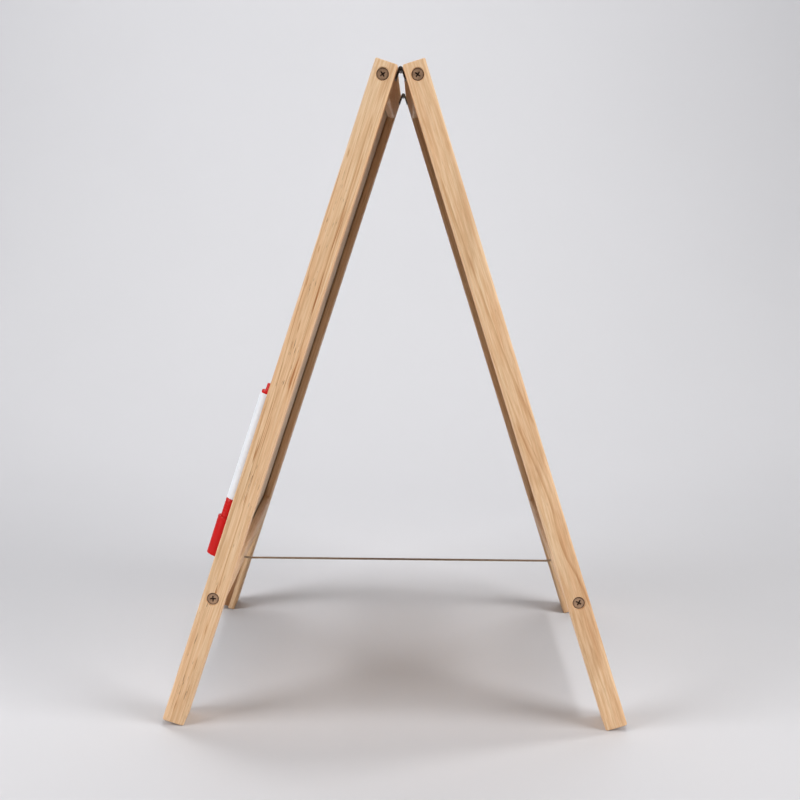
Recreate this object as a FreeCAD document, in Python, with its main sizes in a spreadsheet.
import FreeCAD, Part
import math
import os
import re

# A table-top easel: two grooved pine frames hinged along their top rails, a whiteboard in one
# and a chalkboard in the other, held open by a string, with a magnetic marker on the whiteboard.
#
# Row frame: +Z up, X across the opening (whiteboard towards -X), Y along the width.
# Each frame is drawn in its own panel frame: the origin is on the hinge axis at mid width,
# +X points out of the writing side, +Z runs up the frame, +Y is the reader's right.

doc = FreeCAD.newDocument("kids_easel")
sheet = doc.addObject("Spreadsheet::Sheet", "sizes")

sizes = [
    # frames
    ("panelWidth", 300.0, "over the two legs of a frame"),
    ("legLength", 461.5, "along the leg"),
    ("legWidth", 30.0, "along the frame's width"),
    ("frameThick", 15.0, "front to back, legs and rails alike"),
    ("halfAngle", 17.9, "lean of each frame from upright, degrees"),
    ("edgeRound", 2.0, "long edges of the timber"),
    ("endRound", 0.8, "sawn ends of the legs"),
    ("overcut", 1.0, "how far a cutting solid runs past what it cuts"),
    ("topRailHeight", 20.0, "height of the top rail"),
    ("bottomRailHeight", 20.0, "height of the bottom rail"),
    ("bottomRailDrop", 356.5, "leg top to the bottom rail's upper edge"),
    # boards in their slots
    ("boardInset", 6.4, "back of the frame to the back of the board"),
    ("coreThick", 3.2, "hardboard core"),
    ("faceThick", 0.4, "writing skin on the core"),
    ("slotClear", 0.1, "writing face to the slot wall in front of it"),
    ("slotSlack", 1.0, "back of the board to the slot wall behind it"),
    ("slotDepth", 5.0, "slot depth in legs and rails"),
    ("slotPlay", 0.5, "edge of the board to the bottom of the slot"),
    ("clearMargin", 0.5, "timber or marker to the clear area of a writing face"),
    # screws through the legs into the rail ends
    ("frameScrewHead", 4.05, "head radius"),
    ("frameScrewRadius", 2.0, "shank radius"),
    ("frameScrewLength", 48.0, "head face to tip"),
    ("frameScrewCone", 2.4, "height of the countersunk head"),
    ("frameScrewClear", 0.1, "shank to the hole in the leg"),
    ("counterboreRadius", 4.5, "pocket that the head sits in"),
    ("counterboreDepth", 0.9, "leg face to screw head"),
    ("topScrewSetback", 8.5, "leg top to the upper screw"),
    ("bottomScrewSetback", 13.6, "bottom rail's upper edge to the lower screw"),
    # hinges
    ("pinOffset", 1.45, "hinge axis to the back of each frame"),
    ("pinRadius", 0.7, "hinge pin"),
    ("pinClear", 0.05, "pin to the knuckle that turns on it"),
    ("knuckleRadius", 1.5, "outside of the knuckles"),
    ("knuckleGap", 0.3, "between neighbouring knuckles"),
    ("leafThick", 0.8, "leaf plate"),
    ("leafHeight", 7.2, "hinge axis to the lower edge of a leaf"),
    ("hingeLength", 20.0, "along the axis"),
    ("hingeInset", 21.0, "side of the frame to the hinge"),
    ("leafScrewDrop", 4.6, "hinge axis to the leaf screws"),
    ("leafScrewPitch", 12.0, "between the two screws of a leaf"),
    ("leafScrewRadius", 0.9, "shank radius"),
    ("leafScrewHead", 1.7, "head radius"),
    ("leafScrewLength", 8.0, "head face to tip"),
    # string between the bottom rails
    ("stringRadius", 0.8, "string"),
    ("stringHoleRadius", 2.0, "hole through each bottom rail"),
    ("stringSetback", 11.0, "bottom rail's upper edge to the string"),
    ("stringAcross", -41.0, "row Y of the string"),
    ("stringEase", 6.75, "straight string given up to each side of its bend"),
    ("knotRadius", 3.2, "stopper knot"),
    ("knotLength", 4.5, "stopper knot, out from the rail"),
    ("knotRound", 1.8, "rounding of the stopper knot"),
    # marker
    ("capWall", 1.6, "wall of the cap"),
    ("capLength", 28.0, "cap"),
    ("capFloor", 2.0, "closed end of the cap"),
    ("capRound", 0.8, "rounding of the closed end"),
    ("capClear", 0.1, "grip to the bore of the cap"),
    ("capDrop", 351.0, "leg top to the closed end of the cap"),
    ("markerSide", 1.0, "cap to the neighbouring leg"),
    ("markerStandOff", 0.1, "cap and magnet to the whiteboard"),
    ("magnetThick", 1.2, "magnet strip let into the cap"),
    ("magnetWidth", 4.0, "magnet strip"),
    ("magnetLength", 18.0, "magnet strip"),
    ("barrelRadius", 5.0, "outside of the barrel and grip"),
    ("barrelBore", 4.0, "bore radius of the barrel"),
    ("barrelLength", 77.0, "barrel"),
    ("gripShown", 13.5, "grip between barrel and cap"),
    ("gripHidden", 6.0, "grip inside the cap"),
    ("spigotLength", 6.0, "plug and grip spigots inside the barrel"),
    ("nibRadius", 2.0, "felt nib"),
    ("nibShown", 9.0, "nib beyond the grip"),
    ("nibRound", 1.4, "rounding of the nib's tip"),
    ("feltRadius", 3.4, "ink reservoir"),
    ("feltGap", 1.0, "reservoir to the plug's spigot"),
    ("plugRadius", 4.3, "shoulder of the end plug"),
    ("plugShoulder", 2.2, "shoulder of the end plug"),
    ("stubRadius", 2.2, "stub of the end plug"),
    ("stubLength", 5.0, "stub of the end plug"),
]

for row, (alias, number, note) in enumerate(sizes, start=1):
    sheet.set(f"A{row}", alias)
    sheet.set(f"B{row}", str(number))
    sheet.set(f"C{row}", note)
    sheet.setAlias(f"B{row}", alias)
doc.recompute()

size = {alias: float(sheet.get(alias)) for alias, number, note in sizes}
aliases = set(size)


def bind(thing, prop, text):
    """Bind a property to an expression written with the sheet's aliases."""
    def qualify(match):
        word = match.group()
        return "sizes." + word if word in aliases else word
    thing.setExpression(prop, re.sub(r"[A-Za-z]\w*", qualify, text))


# ---------------------------------------------------------------- shared expressions

slotWidth = "(coreThick + faceThick + slotClear + slotSlack)"
slotBack = "(pinOffset + boardInset - slotSlack)"
frameFront = "(pinOffset + frameThick)"
legInner = "(panelWidth / 2 - legWidth)"
topScrewZ = "(-topScrewSetback)"
bottomScrewZ = "(-bottomRailDrop - bottomScrewSetback)"
stringZ = "(-bottomRailDrop - stringSetback)"
capRadius = "(barrelRadius + capClear + capWall)"
markerX = f"(pinOffset + boardInset + coreThick + faceThick + markerStandOff + {capRadius})"
markerY = f"({legInner} - markerSide - {capRadius})"

halfAngle = math.radians(size["halfAngle"])

# the lowest line of each leg is the rounded inner edge of its sawn foot
footRadius = size["endRound"]
footX = size["pinOffset"] + footRadius
footZ = -size["legLength"] + footRadius
pinHeight = footRadius - (footX * math.sin(halfAngle) + footZ * math.cos(halfAngle))


def panelPlacement(panel):
    """Row placement of a panel frame; the whiteboard's faces -X, the chalkboard's +X."""
    facing = FreeCAD.Rotation(FreeCAD.Vector(0, 0, 1), 180 if panel == "whiteboard" else 0)
    lean = FreeCAD.Rotation(FreeCAD.Vector(0, 1, 0), -size["halfAngle"])
    return FreeCAD.Placement(FreeCAD.Vector(0, 0, pinHeight), facing.multiply(lean))


# ---------------------------------------------------------------- building blocks

parts = []


def keep(thing, label, panel):
    """Name a finished sub-part and put it in place."""
    if thing.TypeId in ("Part::Box", "Part::Cylinder", "Part::Fillet"):
        # its own placement is taken by its panel coordinates, so a compound carries the row's
        holder = doc.addObject("Part::Compound", thing.Name + "Placed")
        holder.Links = [thing]
        thing = holder
    thing.Label = label
    thing.Placement = panelPlacement(panel)
    parts.append(thing)
    return thing


def place(thing, corner):
    for axis, text in zip("xyz", corner):
        bind(thing, f"Placement.Base.{axis}", text)


def edgesAlong(shape, direction):
    """Names of the straight edges that run along a direction."""
    names = []
    for number, edge in enumerate(shape.Edges, start=1):
        if edge.Curve.TypeId == "Part::GeomLine" and edge.tangentAt(0).cross(direction).Length < 1e-6:
            names.append(f"Edge{number}")
    return names


def endEdges(shape, direction):
    """Names of the edges around the two flat faces square to a direction."""
    rims = []
    for face in shape.Faces:
        if face.Surface.TypeId == "Part::GeomPlane" and face.normalAt(0, 0).cross(direction).Length < 1e-6:
            rims.extend(face.Edges)
    return [f"Edge{number}" for number, edge in enumerate(shape.Edges, start=1)
            if any(edge.isSame(rim) for rim in rims)]


def timber(name, corner, span, grain, slotCorner, slotSpan, softEnds):
    """A planed stick with rounded long edges and one slot for the board."""
    body = doc.addObject("PartDesign::Body", name)
    stock = body.newObject("PartDesign::AdditiveBox", name + "Stock")
    for prop, text in zip(("Length", "Width", "Height"), span):
        bind(stock, prop, text)
    place(stock, corner)
    doc.recompute()
    rounded = body.newObject("PartDesign::Fillet", name + "Round")
    rounded.Base = (stock, edgesAlong(stock.Shape, grain))
    bind(rounded, "Radius", "edgeRound")
    doc.recompute()
    if softEnds:
        sawn = body.newObject("PartDesign::Fillet", name + "Ends")
        sawn.Base = (rounded, endEdges(rounded.Shape, grain))
        bind(sawn, "Radius", "endRound")
        doc.recompute()
    slot = body.newObject("PartDesign::SubtractiveBox", name + "Slot")
    for prop, text in zip(("Length", "Width", "Height"), slotSpan):
        bind(slot, prop, text)
    place(slot, slotCorner)
    doc.recompute()
    return body


def box(name, corner, span):
    solid = doc.addObject("Part::Box", name)
    for prop, text in zip(("Length", "Width", "Height"), span):
        bind(solid, prop, text)
    place(solid, corner)
    return solid


turns = {
    "x": FreeCAD.Rotation(FreeCAD.Vector(0, 1, 0), 90),
    "y": FreeCAD.Rotation(FreeCAD.Vector(1, 0, 0), -90),
    "z": FreeCAD.Rotation(),
}


def cylinder(name, start, along, radius, length):
    """A cylinder from its start point along +x, +y or +z."""
    solid = doc.addObject("Part::Cylinder", name)
    solid.Placement = FreeCAD.Placement(FreeCAD.Vector(), turns[along])
    bind(solid, "Radius", radius)
    bind(solid, "Height", length)
    place(solid, start)
    return solid


def joined(name, pieces):
    if len(pieces) == 1:
        return pieces[0]
    union = doc.addObject("Part::MultiFuse", name)
    union.Shapes = pieces
    return union


def cut(name, blank, cutters):
    result = doc.addObject("Part::Cut", name)
    result.Base = blank
    result.Tool = joined(name + "Cutters", cutters)
    return result


# ---------------------------------------------------------------- frames

up = FreeCAD.Vector(0, 0, 1)
across = FreeCAD.Vector(0, 1, 0)

# each frame screw goes in from a side of the frame: its height, and whether it is in the top rail
screwHeights = {"Top": topScrewZ, "Bottom": bottomScrewZ}
frameMiddle = "(pinOffset + frameThick / 2)"
hingeMiddle = "(panelWidth / 2 - hingeInset - hingeLength / 2)"


def leafScrewPlaces():
    """Panel Y of the leaf screws: two hinges, two screws to a leaf."""
    places = []
    for hinge in ("-", ""):
        for step in ("-", "+"):
            places.append(f"({hinge}{hingeMiddle} {step} leafScrewPitch / 2)")
    return places


def leafScrewHoles(name):
    return [cylinder(f"{name}LeafHole{number}", ("pinOffset", text, "-leafScrewDrop"), "x",
                     "leafScrewRadius", "leafScrewLength - leafThick")
            for number, text in enumerate(leafScrewPlaces(), start=1)]


def buildLeg(panel, side):
    """side is -1 for the reader's left leg and +1 for the right one."""
    name = panel + ("LegLeft" if side < 0 else "LegRight")
    low = "-panelWidth / 2" if side < 0 else legInner
    slotLow = f"-{legInner} - slotDepth" if side < 0 else legInner
    stick = timber(name, ("pinOffset", low, "-legLength"), ("frameThick", "legWidth", "legLength"), up,
                   (slotBack, slotLow, "-legLength - overcut"),
                   (slotWidth, "slotDepth", "legLength + 2 * overcut"), True)
    holes = leafScrewHoles(name)
    for place_, height in screwHeights.items():
        outer = "-panelWidth / 2 - overcut" if side < 0 else "panelWidth / 2 - counterboreDepth"
        shank = "-panelWidth / 2" if side < 0 else legInner
        holes.append(cylinder(f"{name}{place_}Pocket", (frameMiddle, outer, height), "y",
                              "counterboreRadius", "counterboreDepth + overcut"))
        holes.append(cylinder(f"{name}{place_}Hole", (frameMiddle, shank, height), "y",
                              "frameScrewRadius + frameScrewClear", "legWidth"))
        holes.append(countersink(f"{name}{place_}Sink", side, height))
    label = f"{panel}_leg_{'left' if side < 0 else 'right'}"
    return keep(cut(name + "Cut", stick, holes), label, panel)


def countersink(name, side, height):
    """The cone that the screw head seats in, narrowing into the leg."""
    seat = doc.addObject("Part::Cone", name)
    seat.Placement = FreeCAD.Placement(FreeCAD.Vector(), turns["y"])
    bind(seat, "Height", "frameScrewCone")
    wide, narrow = ("Radius1", "Radius2") if side < 0 else ("Radius2", "Radius1")
    bind(seat, wide, "frameScrewHead")
    bind(seat, narrow, "frameScrewRadius")
    start = "-panelWidth / 2 + counterboreDepth"
    if side > 0:
        start = "panelWidth / 2 - counterboreDepth - frameScrewCone"
    place(seat, (frameMiddle, start, height))
    return seat


def railPilots(name, height):
    """Pilot holes in both ends of a rail, as deep as the screws reach."""
    reach = "(frameScrewLength + counterboreDepth - legWidth)"
    starts = {"PilotLeft": f"-{legInner}", "PilotRight": f"{legInner} - {reach}"}
    return [cylinder(name + end, (frameMiddle, start, height), "y", "frameScrewRadius", reach)
            for end, start in starts.items()]


def buildTopRail(panel):
    name = panel + "TopRail"
    stick = timber(name, ("pinOffset", f"-{legInner}", "-topRailHeight"),
                   ("frameThick", f"2 * {legInner}", "topRailHeight"), across,
                   (slotBack, f"-{legInner} - overcut", "-topRailHeight"),
                   (slotWidth, f"2 * {legInner} + 2 * overcut", "slotDepth"), False)
    holes = railPilots(name, topScrewZ) + leafScrewHoles(name)
    return keep(cut(name + "Cut", stick, holes), panel + "_top_rail", panel)


def buildBottomRail(panel):
    name = panel + "BottomRail"
    stick = timber(name, ("pinOffset", f"-{legInner}", "-bottomRailDrop - bottomRailHeight"),
                   ("frameThick", f"2 * {legInner}", "bottomRailHeight"), across,
                   (slotBack, f"-{legInner} - overcut", "-bottomRailDrop - slotDepth"),
                   (slotWidth, f"2 * {legInner} + 2 * overcut", "slotDepth"), False)
    holes = railPilots(name, bottomScrewZ)
    holes.append(cylinder(name + "StringHole", ("pinOffset - overcut", stringY(panel), stringZ), "x",
                          "stringHoleRadius", "frameThick + 2 * overcut"))
    return keep(cut(name + "Cut", stick, holes), panel + "_bottom_rail", panel)


def stringY(panel):
    """Panel Y of the string: the whiteboard's panel frame is turned about +Z."""
    return "-stringAcross" if panel == "whiteboard" else "stringAcross"


def boardLayer(name, start, thick):
    """One layer of a board, from slot to slot."""
    half = f"({legInner} + slotDepth - slotPlay)"
    low = "(bottomRailDrop + slotDepth - slotPlay)"
    high = "(topRailHeight - slotDepth + slotPlay)"
    return box(name, (start, f"-{half}", f"-{low}"), (thick, f"2 * {half}", f"{low} - {high}"))


def clearArea(panel):
    """The part of a writing face with nothing over it, where a sheet or a magnet can lie."""
    margin = size["clearMargin"]
    front = size["pinOffset"] + size["boardInset"] + size["coreThick"] + size["faceThick"]
    left = -size["panelWidth"] / 2 + size["legWidth"] + margin
    right = -left
    if panel == "whiteboard":
        cap = 2 * (size["barrelRadius"] + size["capClear"] + size["capWall"])
        right -= size["markerSide"] + cap
    low = -size["bottomRailDrop"] + margin
    high = -size["topRailHeight"] - margin
    corners = [FreeCAD.Vector(front, y, z)
               for y, z in ((left, low), (right, low), (right, high), (left, high), (left, low))]
    return Part.Face(Part.makePolygon(corners))


def buildBoard(panel):
    back = "(pinOffset + boardInset)"
    keep(boardLayer(panel + "Core", back, "coreThick"), panel + "_core", panel)
    plain = boardLayer(panel + "Skin", f"{back} + coreThick", "faceThick")
    doc.recompute()
    face = doc.addObject("Part::Feature", panel + "Face")
    face.Shape = plain.Shape.generalFuse([clearArea(panel)])[0].Solids[0]
    keep(face, panel + "_writing_face", panel)


# ---------------------------------------------------------------- screws

# proportions of a screw, as shares of its head radius, shank radius or cone height
crossArm = 0.55
crossBlade = 0.14
crossDepth = 0.6
tipLength = 1.5
tipEnd = 0.3


def phillips(radius, depth):
    """A cross recess in the XY plane, sunk from z = 0 down."""
    arm = radius * crossArm
    blade = radius * crossBlade
    cross = Part.makeBox(2 * arm, 2 * blade, depth, FreeCAD.Vector(-arm, -blade, -depth))
    return cross.fuse(Part.makeBox(2 * blade, 2 * arm, depth, FreeCAD.Vector(-blade, -arm, -depth)))


def screw(head, cone, shank, length):
    """A countersunk screw with its head face at z = 0 and its tip down -Z."""
    tip = tipLength * shank
    down = FreeCAD.Vector(0, 0, -1)
    shape = Part.makeCone(head, shank, cone, FreeCAD.Vector(), down)
    shape = shape.fuse(Part.makeCylinder(shank, length - cone - tip, FreeCAD.Vector(0, 0, -cone), down))
    shape = shape.fuse(Part.makeCone(shank, shank * tipEnd, tip, FreeCAD.Vector(0, 0, tip - length), down))
    return shape.removeSplitter().cut(phillips(head, cone * crossDepth))


def turnTo(direction):
    """Rotation that takes +Z to a direction."""
    return FreeCAD.Rotation(FreeCAD.Vector(0, 0, 1), direction)


def screwGroup(label, panel, shape, heads):
    """Identical screws as separate solids of one node; heads are (point, outward direction)."""
    solids = []
    for point, outward in heads:
        one = shape.copy()
        one.Placement = FreeCAD.Placement(point, turnTo(outward))
        solids.append(one)
    group = doc.addObject("Part::Feature", label.title().replace("_", ""))
    group.Shape = Part.makeCompound(solids)
    return keep(group, label, panel)


def buildFrameScrews(panel):
    shape = screw(size["frameScrewHead"], size["frameScrewCone"],
                  size["frameScrewRadius"], size["frameScrewLength"])
    middle = size["pinOffset"] + size["frameThick"] / 2
    heights = (-size["topScrewSetback"], -size["bottomRailDrop"] - size["bottomScrewSetback"])
    heads = []
    for side in (-1, 1):
        face = side * (size["panelWidth"] / 2 - size["counterboreDepth"])
        for height in heights:
            heads.append((FreeCAD.Vector(middle, face, height), FreeCAD.Vector(0, side, 0)))
    return screwGroup(panel + "_frame_screws", panel, shape, heads)


def buildLeafScrews(panel):
    shape = screw(size["leafScrewHead"], size["leafThick"], size["leafScrewRadius"], size["leafScrewLength"])
    middle = size["panelWidth"] / 2 - size["hingeInset"] - size["hingeLength"] / 2
    heads = []
    for hinge in (-middle, middle):
        for step in (-1, 1):
            point = FreeCAD.Vector(size["pinOffset"] - size["leafThick"],
                                   hinge + step * size["leafScrewPitch"] / 2, -size["leafScrewDrop"])
            heads.append((point, FreeCAD.Vector(-1, 0, 0)))
    return screwGroup(panel + "_hinge_screws", panel, shape, heads)


# ---------------------------------------------------------------- hinges

# the whiteboard's leaves carry the two outer knuckles, the chalkboard's the middle one
knuckleLength = "((hingeLength - 2 * knuckleGap) / 3)"
knuckleStarts = ["0", f"({knuckleLength} + knuckleGap)", f"(2 * {knuckleLength} + 2 * knuckleGap)"]


def buildLeaf(hinge, panel, start):
    """One leaf: a plate on the back of the frame with its share of the knuckles."""
    name = hinge + panel.title()
    own = (0, 2) if panel == "whiteboard" else (1,)
    plate = box(name + "Plate", ("pinOffset - leafThick", start, "-leafHeight"),
                ("leafThick", "hingeLength", "leafHeight"))
    swing = []
    for index in (0, 1, 2):
        if index not in own:
            low = f"{start} + {knuckleStarts[index]} - knuckleGap"
            swing.append(cylinder(f"{name}Swing{index}", ("0", low, "0"), "y", "knuckleRadius + knuckleGap",
                                  f"{knuckleLength} + 2 * knuckleGap"))
    knuckles = [cylinder(f"{name}Knuckle{index}", ("0", f"{start} + {knuckleStarts[index]}", "0"), "y",
                         "knuckleRadius", knuckleLength) for index in own]
    blank = joined(name + "Blank", [cut(name + "Notched", plate, swing)] + knuckles)
    clear = "0" if panel == "whiteboard" else "pinClear"
    holes = [cylinder(name + "Bore", ("0", f"{start} - overcut", "0"), "y", f"pinRadius + {clear}",
                      "hingeLength + 2 * overcut")]
    for number, step in enumerate(("-", "+")):
        middle = f"{start} + hingeLength / 2 {step} leafScrewPitch / 2"
        sink = doc.addObject("Part::Cone", f"{name}Sink{number}")
        sink.Placement = FreeCAD.Placement(FreeCAD.Vector(), turns["x"])
        bind(sink, "Radius1", "leafScrewHead")
        bind(sink, "Radius2", "leafScrewRadius")
        bind(sink, "Height", "leafThick")
        place(sink, ("pinOffset - leafThick", middle, "-leafScrewDrop"))
        holes.append(sink)
    label = f"{hinge}_{panel}_leaf"
    return keep(cut(name + "Leaf", blank, holes), label, panel)


def buildHinge(hinge, low):
    """low is the row Y of the hinge's start; the whiteboard's panel frame runs the other way."""
    buildLeaf(hinge, "chalkboard", low)
    buildLeaf(hinge, "whiteboard", f"(-{low} - hingeLength)")
    pin = cylinder(hinge + "Pin", ("0", f"-{low} - hingeLength", "0"), "y", "pinRadius", "hingeLength")
    keep(pin, hinge + "_pin", "whiteboard")


# ---------------------------------------------------------------- string

def buildString():
    """The string runs square through each rail and level between them, with an eased bend at each rail."""
    reach = size["bottomRailDrop"] + size["stringSetback"]
    chalk = panelPlacement("chalkboard")
    y = size["stringAcross"]
    knot = chalk.multVec(FreeCAD.Vector(size["pinOffset"] + size["frameThick"], y, -reach))
    bend = chalk.multVec(FreeCAD.Vector(size["pinOffset"], y, -reach))
    ease = size["stringEase"]
    radius = ease / math.tan(halfAngle / 2)
    outward = (knot - bend).normalize()
    leave = bend + outward * ease
    arrive = bend - FreeCAD.Vector(ease, 0, 0)
    centre = arrive - FreeCAD.Vector(0, 0, -radius)
    middle = centre + FreeCAD.Vector(math.sin(halfAngle / 2), 0, -math.cos(halfAngle / 2)) * radius
    print("string bends at", round(radius, 1), "mm radius, level run",
          round(2 * arrive.x, 1), "mm, whole length", round(2 * (arrive.x + radius * halfAngle
                                                            + size["frameThick"] - ease), 1), "mm")

    def opposite(point):
        return FreeCAD.Vector(-point.x, point.y, point.z)

    edges = [Part.LineSegment(opposite(knot), opposite(leave)).toShape(),
             Part.Arc(opposite(leave), opposite(middle), opposite(arrive)).toShape(),
             Part.LineSegment(opposite(arrive), arrive).toShape(),
             Part.Arc(arrive, middle, leave).toShape(),
             Part.LineSegment(leave, knot).toShape()]
    path = Part.Wire(edges)
    start = opposite(knot)
    section = Part.Wire(Part.makeCircle(size["stringRadius"], start, opposite(leave) - start))
    tube = path.makePipeShell([section], True, True)
    string = doc.addObject("Part::Feature", "SpreadString")
    string.Shape = tube
    string.Label = "spread_string"
    parts.append(string)
    expected = path.Length * math.pi * size["stringRadius"] ** 2
    print("string volume", round(tube.Volume, 1), "of", round(expected, 1))


def buildKnot(panel):
    """A stopper knot on the writing side of the bottom rail."""
    name = panel + "Knot"
    core = cylinder(name + "Core", (frameFront, stringY(panel), stringZ), "x", "knotRadius", "knotLength")
    doc.recompute()
    rims = [number for number, edge in enumerate(core.Shape.Edges, start=1)
            if edge.Closed and abs(edge.BoundBox.XMax - edge.BoundBox.XMin) < 1e-6]
    rims.sort(key=lambda number: core.Shape.Edges[number - 1].BoundBox.XMax)
    knot = doc.addObject("Part::Fillet", name)
    knot.Base = core
    knot.Edges = [(rims[-1], size["knotRound"], size["knotRound"])]
    return keep(knot, f"string_knot_{panel}", panel)


# ---------------------------------------------------------------- marker

# the marker hangs cap down: heights are measured up from the closed end of the cap
capTop = "(-capDrop + capLength)"
barrelLow = f"({capTop} + gripShown)"
barrelTop = f"({barrelLow} + barrelLength)"


def turned(name, low, radius, length):
    """A cylinder on the marker's axis."""
    return cylinder(name, (markerX, markerY, low), "z", radius, length)


def buildCap():
    outer = turned("CapOuter", "-capDrop", capRadius, "capLength")
    doc.recompute()
    rims = [number for number, edge in enumerate(outer.Shape.Edges, start=1)
            if edge.Closed and edge.BoundBox.ZMax < -size["capDrop"] + 0.1]
    rounded = doc.addObject("Part::Fillet", "CapRounded")
    rounded.Base = outer
    rounded.Edges = [(number, size["capRound"], size["capRound"]) for number in rims]
    bore = turned("CapBore", "-capDrop + capFloor", "barrelRadius + capClear", "capLength")
    pocket = magnetBox("CapMagnetPocket")
    keep(cut("CapShell", rounded, [bore, pocket]), "marker_cap", "whiteboard")
    keep(magnetBox("CapMagnet"), "marker_magnet", "whiteboard")


def magnetBox(name):
    return box(name, (f"{markerX} - {capRadius}", f"{markerY} - magnetWidth / 2",
                      "-capDrop + (capLength - magnetLength) / 2"),
               ("magnetThick", "magnetWidth", "magnetLength"))


def buildPen():
    barrel = cut("BarrelShell", turned("BarrelOuter", barrelLow, "barrelRadius", "barrelLength"),
                 [turned("BarrelBore", f"{barrelLow} - overcut", "barrelBore",
                         "barrelLength + 2 * overcut")])
    keep(barrel, "marker_barrel", "whiteboard")
    grip = joined("Grip", [turned("GripBody", f"{capTop} - gripHidden", "barrelRadius",
                                  "gripShown + gripHidden"),
                           turned("GripSpigot", barrelLow, "barrelBore", "spigotLength")])
    nibTop = f"({barrelLow} + spigotLength)"
    nibLow = f"({capTop} - gripHidden - nibShown)"
    keep(cut("GripBored", grip, [turned("GripBore", f"{nibLow}", "nibRadius", "legLength")]),
         "marker_grip", "whiteboard")
    shaft = turned("NibShaft", nibLow, "nibRadius", f"{nibTop} - {nibLow}")
    doc.recompute()
    tip = [number for number, edge in enumerate(shaft.Shape.Edges, start=1)
           if edge.Closed and edge.BoundBox.ZMax < shaft.Shape.BoundBox.ZMin + 0.1]
    nib = doc.addObject("Part::Fillet", "Nib")
    nib.Base = shaft
    nib.Edges = [(number, size["nibRound"], size["nibRound"]) for number in tip]
    keep(nib, "marker_nib", "whiteboard")
    felt = turned("Felt", nibTop, "feltRadius", "barrelLength - 2 * spigotLength - feltGap")
    keep(felt, "marker_ink_reservoir", "whiteboard")
    plug = joined("Plug", [turned("PlugSpigot", f"{barrelTop} - spigotLength", "barrelBore", "spigotLength"),
                           turned("PlugShoulder", barrelTop, "plugRadius", "plugShoulder"),
                           turned("PlugStub", f"{barrelTop} + plugShoulder", "stubRadius", "stubLength")])
    keep(plug, "marker_end_plug", "whiteboard")


# ---------------------------------------------------------------- the easel

for panel in ("whiteboard", "chalkboard"):
    buildLeg(panel, -1)
    buildLeg(panel, 1)
    buildTopRail(panel)
    buildBottomRail(panel)
    buildBoard(panel)
    buildFrameScrews(panel)
    buildLeafScrews(panel)
    buildKnot(panel)
buildHinge("hinge_a", "(-panelWidth / 2 + hingeInset)")
buildHinge("hinge_b", "(panelWidth / 2 - hingeInset - hingeLength)")
buildString()
buildCap()
buildPen()
doc.recompute()

# ---------------------------------------------------------------- checks and export

for thing in doc.Objects:
    for word in ("Invalid", "Error"):
        if word in thing.State:
            raise RuntimeError(f"{thing.Name} is {word}")
for thing in parts:
    shape = thing.Shape
    if shape.isNull() or not shape.isValid() or not shape.Solids:
        raise RuntimeError(f"{thing.Label} has no valid solid")

whole = FreeCAD.BoundBox()
os.makedirs("parts", exist_ok=True)
for thing in parts:
    whole.add(thing.Shape.BoundBox)
    thing.Shape.exportStep(f"parts/{thing.Label}.step")
print(len(parts), "nodes, hinge axis at z", round(pinHeight, 3))
print("box", [round(value, 2) for value in (whole.XMin, whole.XMax, whole.YMin, whole.YMax,
                                            whole.ZMin, whole.ZMax)])
